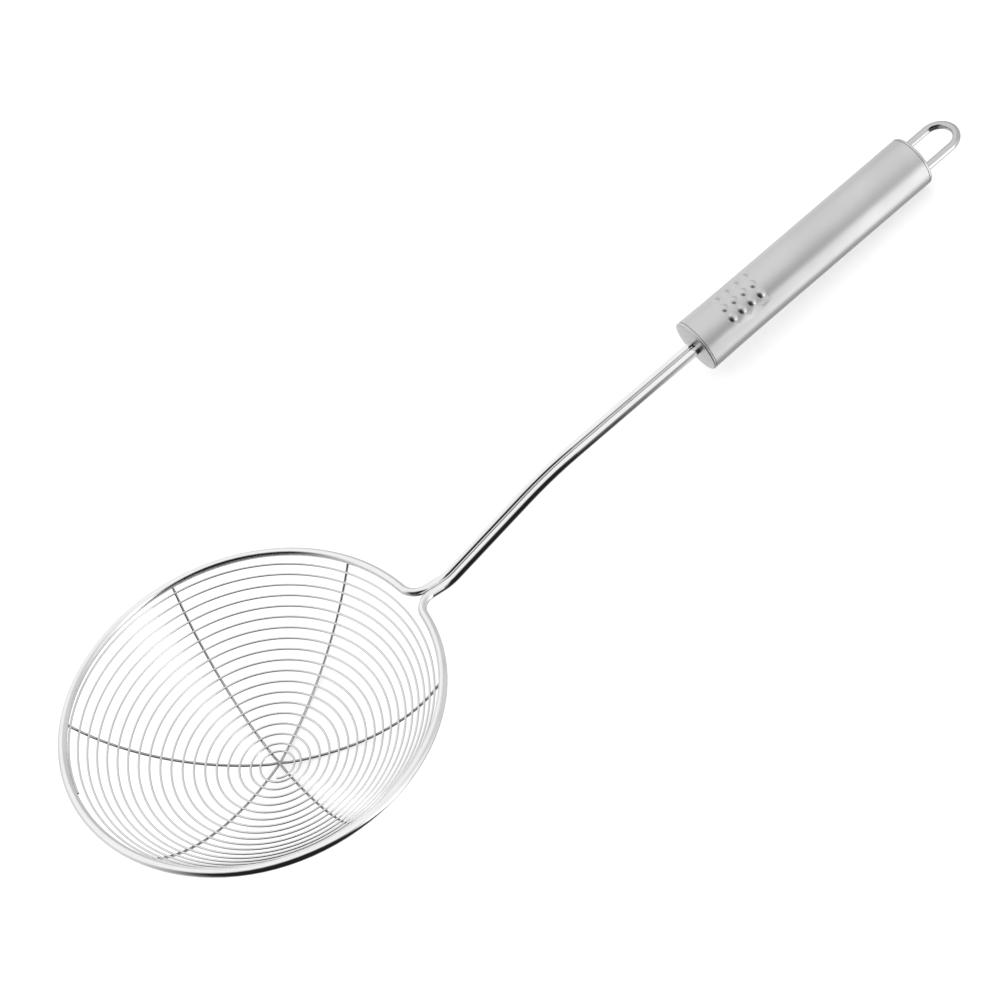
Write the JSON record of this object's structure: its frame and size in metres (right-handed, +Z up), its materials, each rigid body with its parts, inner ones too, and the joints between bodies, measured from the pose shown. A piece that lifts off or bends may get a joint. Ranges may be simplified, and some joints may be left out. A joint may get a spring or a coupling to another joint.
{
  "type": "spider skimmer",
  "caption": "Round wire skimmer: a spiral-wound wire bowl on crossed ribs, on a bent wire shank with a hollow steel handle and a hanging loop.",
  "frame": {"origin": "centre of the bounding box's base, on the table that the skimmer lies on", "axes": "+X from the bowl towards the handle, +Z up, +Y to the left when looking from the bowl to the handle"},
  "size_m": [0.3991, 0.14, 0.0638],
  "materials": {
    "polished_wire": "polished stainless steel wire",
    "rib_wire": "bright drawn stainless steel wire",
    "mesh_wire": "bright drawn stainless steel wire",
    "brushed_tube": "satin, brushed along the tube",
    "pressed_cap": "satin, finely turned"
  },
  "bodies": {
    "root": {"frame_wire": "polished_wire", "rib_wire_lower": "rib_wire", "rib_wire_middle": "rib_wire", "rib_wire_upper": "rib_wire", "spiral_wire": "mesh_wire", "handle_tube": "brushed_tube", "front_cap": "pressed_cap", "rear_cap": "pressed_cap", "hanging_loop": "polished_wire"}
  },
  "joints": []
}
